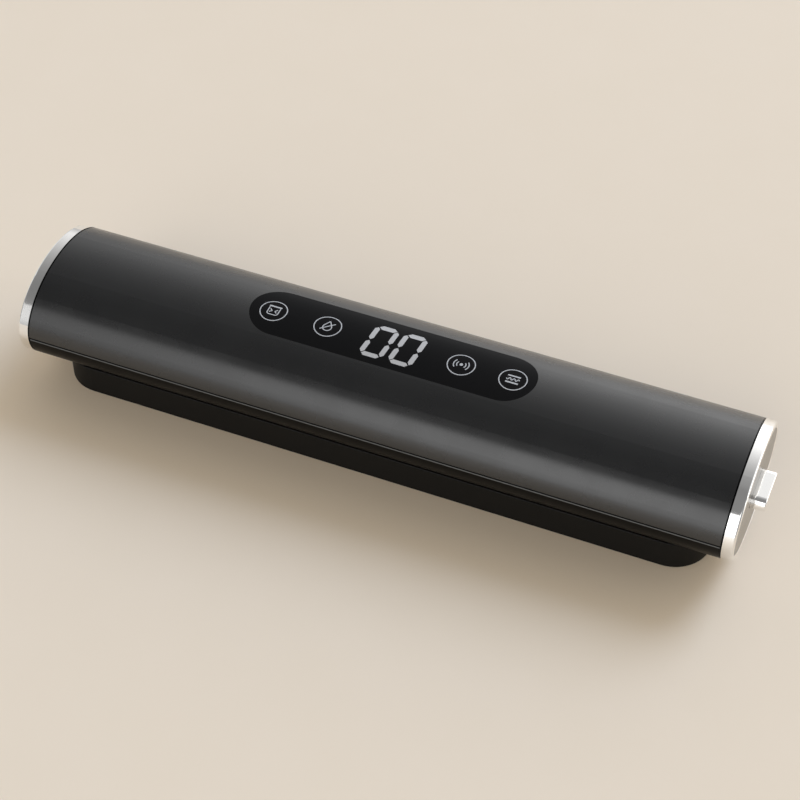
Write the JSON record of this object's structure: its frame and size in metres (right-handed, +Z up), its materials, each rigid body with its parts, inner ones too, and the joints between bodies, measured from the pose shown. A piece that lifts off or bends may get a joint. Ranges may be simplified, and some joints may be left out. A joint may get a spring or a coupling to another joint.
{
  "type": "vacuum sealer",
  "caption": "Long bar-shaped kitchen vacuum sealer: an elliptical lid with bright end rings, a touch panel and a side release button, hinged on a narrower base with a vacuum trough.",
  "frame": {"origin": "on the table, under the middle of the whole object, release button included", "axes": "+X along the bar towards the release button, -Y is the front where the bag goes in, +Z up"},
  "size_m": [0.3884, 0.082, 0.0631],
  "materials": {
    "shell_plastic": "satin black moulded plastic",
    "lower_shell_plastic": "satin black moulded plastic",
    "base_plastic": "matte black moulded plastic",
    "panel_gloss": "polished black panel",
    "ring_chrome": "bright plated",
    "disc_aluminium": "satin anodised",
    "foot_rubber": "matte",
    "screw_steel": "plain",
    "latch_steel": "plain",
    "motor_steel": "plain",
    "gasket_foam": "closed-cell foam",
    "silicone": "satin silicone",
    "circuit_board": "solder mask",
    "display_case": "matte",
    "pad_foam": "conductive foam",
    "cable_plastic": "flat cable",
    "cell_wrap": "shrink wrap",
    "inner_plastic": "moulded",
    "heater_bar_metal": "extruded",
    "cover_tape_fabric": "coated glass cloth"
  },
  "bodies": {
    "base": {"base_shell": "base_plastic", "drip_tray": "base_plastic", "base_plate": "base_plastic", "rubber_feet": "foot_rubber", "base_screws": "screw_steel", "lower_gasket": "gasket_foam", "press_strip": "silicone", "latch_catches": "latch_steel", "hinge_pins": "latch_steel"},
    "lid": {"upper_shell": "shell_plastic", "lower_shell": "lower_shell_plastic", "shell_screws": "screw_steel", "right_end_ring": "ring_chrome", "left_end_ring": "ring_chrome", "right_end_disc": "disc_aluminium", "left_end_disc": "disc_aluminium", "touch_panel": "panel_gloss", "control_board": "circuit_board", "board_screws": "screw_steel", "display_module": "display_case", "touch_pads": "pad_foam", "power_board": "circuit_board", "ribbon_cable": "cable_plastic", "charge_port": "latch_steel", "battery_cells": "cell_wrap", "battery_holder": "inner_plastic", "pump_motor": "motor_steel", "pump_head": "inner_plastic", "pump_cradle": "foot_rubber", "suction_tube": "silicone", "vent_valve": "inner_plastic", "heater_bar": "heater_bar_metal", "heater_strip": "latch_steel", "cover_tape": "cover_tape_fabric", "upper_gasket": "gasket_foam", "button_spring": "latch_steel"},
    "release": {"release_button": "ring_chrome", "latch_bar": "latch_steel"},
    "pump_rotor": {"pump_shaft": "motor_steel"}
  },
  "joints": [
    {"name": "lid_hinge", "type": "hinge", "parent": "base", "child": "lid", "pos_m": [0, 0.0365, 0.0155], "axis": [-1, 0, 0], "range_deg": [0, 45]},
    {"name": "release_press", "type": "slide", "parent": "lid", "child": "release", "axis": [-1, 0, 0], "range_m": [0, 0.003], "stiffness_N_per_m": 400, "deforming": ["button_spring"]},
    {"name": "pump_spin", "type": "hinge", "parent": "lid", "child": "pump_rotor", "pos_m": [-0.1396, 0.012, 0.039], "axis": [1, 0, 0], "continuous": true}
  ]
}
